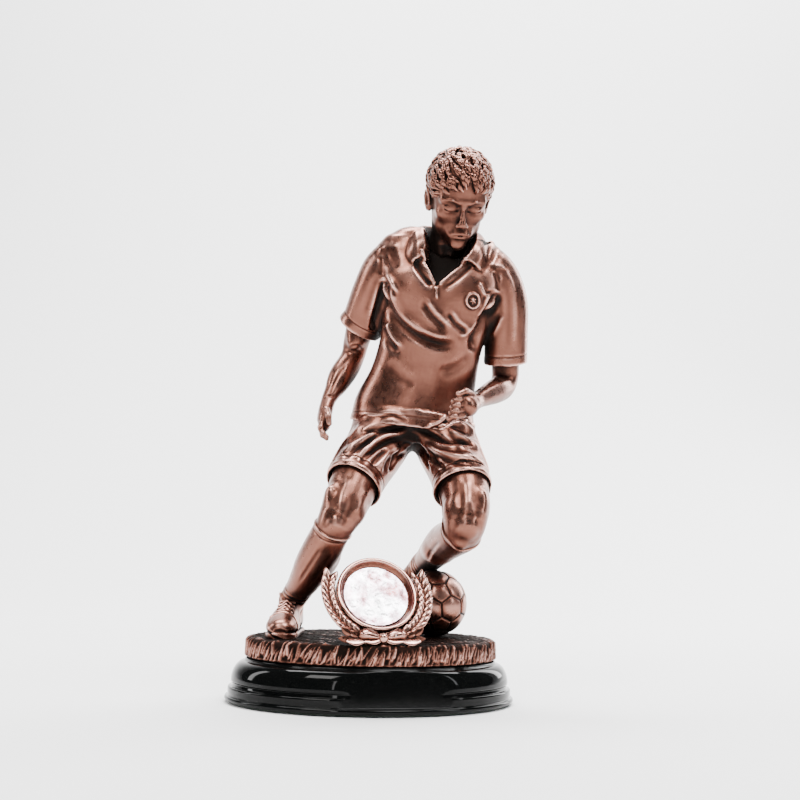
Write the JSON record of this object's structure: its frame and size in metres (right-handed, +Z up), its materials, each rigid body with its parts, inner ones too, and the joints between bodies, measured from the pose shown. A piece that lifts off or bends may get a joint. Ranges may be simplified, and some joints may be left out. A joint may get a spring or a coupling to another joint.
{
  "type": "figure trophy",
  "caption": "Footballer figure with a ball on an oval turf plinth, behind a wreathed medallion holder, on a moulded oval base with a flat front facet.",
  "frame": {"origin": "middle of the underside of the felt pad", "axes": "+Z up, -Y to the front facet and the medallion, +X to the viewer's right"},
  "size_m": [0.1152, 0.083, 0.2158],
  "materials": {
    "copper_casting": "satin",
    "turf_casting": "satin",
    "base_gloss": "gloss",
    "felt": "matte",
    "steel": "satin",
    "medallion_silver": "polished",
    "foam_tape": "matte"
  },
  "bodies": {
    "root": {"base_moulding": "base_gloss", "felt_pad": "felt", "plinth": "turf_casting", "plinth_screws": "steel", "screw_washers": "steel", "figure_rod": "steel", "figure_nut": "steel", "figure_washer": "steel", "right_boot": "copper_casting", "left_boot": "copper_casting", "right_leg": "copper_casting", "left_leg": "copper_casting", "shorts": "copper_casting", "shirt_torso": "copper_casting", "head": "copper_casting", "right_arm": "copper_casting", "left_arm": "copper_casting", "neck_dowel": "steel", "waist_dowel": "steel", "arm_dowels": "steel", "leg_dowels": "steel", "ankle_dowels": "steel", "toe_dowel": "steel", "ball": "copper_casting", "ball_dowel": "steel", "holder_ring": "copper_casting", "laurel_left": "copper_casting", "laurel_right": "copper_casting", "ribbon_bow": "copper_casting", "holder_studs": "steel", "medallion_disc": "medallion_silver", "disc_tape": "foam_tape"}
  },
  "joints": []
}
